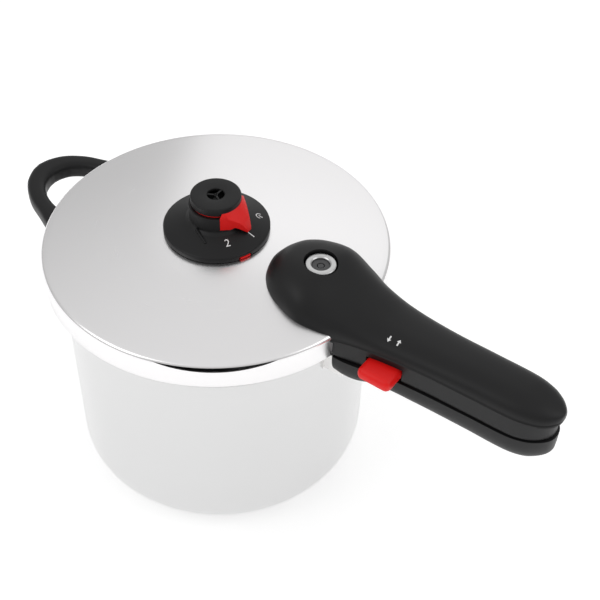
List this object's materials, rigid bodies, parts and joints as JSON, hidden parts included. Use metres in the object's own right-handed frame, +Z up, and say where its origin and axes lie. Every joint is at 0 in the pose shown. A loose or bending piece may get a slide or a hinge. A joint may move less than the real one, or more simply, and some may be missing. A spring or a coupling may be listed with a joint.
{
  "type": "stovetop pressure cooker",
  "caption": "Tall steel pressure cooker with a bayonet lid, stacked long handles, cross-slide lock, rotary steam selector and a loop helper handle.",
  "frame": {"origin": "centre of the underside of the base", "axes": "+Z up along the pot's axis, +X along the long handles, +Y to the side the lid handle swings to when it opens"},
  "size_m": [0.4503, 0.246, 0.2393],
  "materials": {
    "pot_steel": "bright satin",
    "lid_steel": "polished",
    "base_aluminium": "plain",
    "base_steel": "turned",
    "bracket_steel": "satin",
    "screw_steel": "plain",
    "spring_steel": "plain",
    "valve_steel": "turned",
    "valve_brass": "turned",
    "black_plastic": "satin",
    "dark_plug": "matt",
    "red_plastic": "semi-gloss",
    "black_silicone": "matt"
  },
  "bodies": {
    "pot": {"pot_body": "pot_steel", "base_core": "base_aluminium", "base_cap": "base_steel", "pot_handle_bracket": "bracket_steel", "pot_handle": "black_plastic", "pot_handle_screw": "screw_steel", "helper_bracket": "bracket_steel", "helper_handle": "black_plastic", "helper_screws": "screw_steel"},
    "lid": {"lid_shell": "lid_steel", "lid_gasket": "black_silicone", "lid_handle_bracket": "bracket_steel", "lid_handle_base": "black_plastic", "lid_handle_cover": "black_plastic", "lid_handle_screws": "screw_steel", "detent_spring": "spring_steel", "safety_valve_body": "valve_steel", "safety_valve_spring": "spring_steel", "safety_valve_plug": "dark_plug", "safety_valve_washer": "black_silicone", "safety_valve_nut": "valve_steel", "valve_stem": "valve_brass", "valve_washer": "black_silicone", "valve_nuts": "valve_steel", "valve_dial": "black_plastic", "regulator_spring": "spring_steel"},
    "lock": {"lock_slider": "red_plastic", "lock_tongue": "screw_steel"},
    "safety_plunger": {"safety_valve_plunger": "valve_steel"},
    "selector": {"selector_pointer": "red_plastic", "selector_cap": "black_plastic"},
    "follower": {"spring_follower": "black_plastic"},
    "needle": {"regulator_needle": "valve_steel"},
    "release": {"valve_release_tab": "red_plastic"}
  },
  "joints": [
    {"name": "lid_turn", "type": "hinge", "parent": "pot", "child": "lid", "pos_m": [0, 0, 0.19], "axis": [0, 0, 1], "range_deg": [0, 30]},
    {"name": "lock_slide", "type": "slide", "parent": "lid", "child": "lock", "axis": [0, 1, 0], "range_m": [0, 0.01]},
    {"name": "selector_turn", "type": "hinge", "parent": "lid", "child": "selector", "pos_m": [0, 0, 0.23], "axis": [0, 0, 1], "range_deg": [-40.5, 40.5]},
    {"name": "follower_lift", "type": "slide", "parent": "lid", "child": "follower", "axis": [0, 0, 1], "range_m": [-0.0011, 0.0011]},
    {"name": "needle_lift", "type": "slide", "parent": "lid", "child": "needle", "axis": [0, 0, 1], "range_m": [0, 0.002], "stiffness_N_per_m": 2000, "springref_m": -0.001, "deforming": ["regulator_spring"]},
    {"name": "safety_plunger_lift", "type": "slide", "parent": "lid", "child": "safety_plunger", "axis": [0, 0, 1], "range_m": [0, 0.0025], "stiffness_N_per_m": 4000, "springref_m": -0.001, "deforming": ["safety_valve_spring"]},
    {"name": "release_press", "type": "slide", "parent": "lid", "child": "release", "axis": [-0.9397, 0.342, 0], "range_m": [0, 0.002], "stiffness_N_per_m": 500}
  ],
  "couplings": [
    {"joint": "follower_lift", "follows": "selector_turn", "m_per_rad": 0.0015}
  ]
}
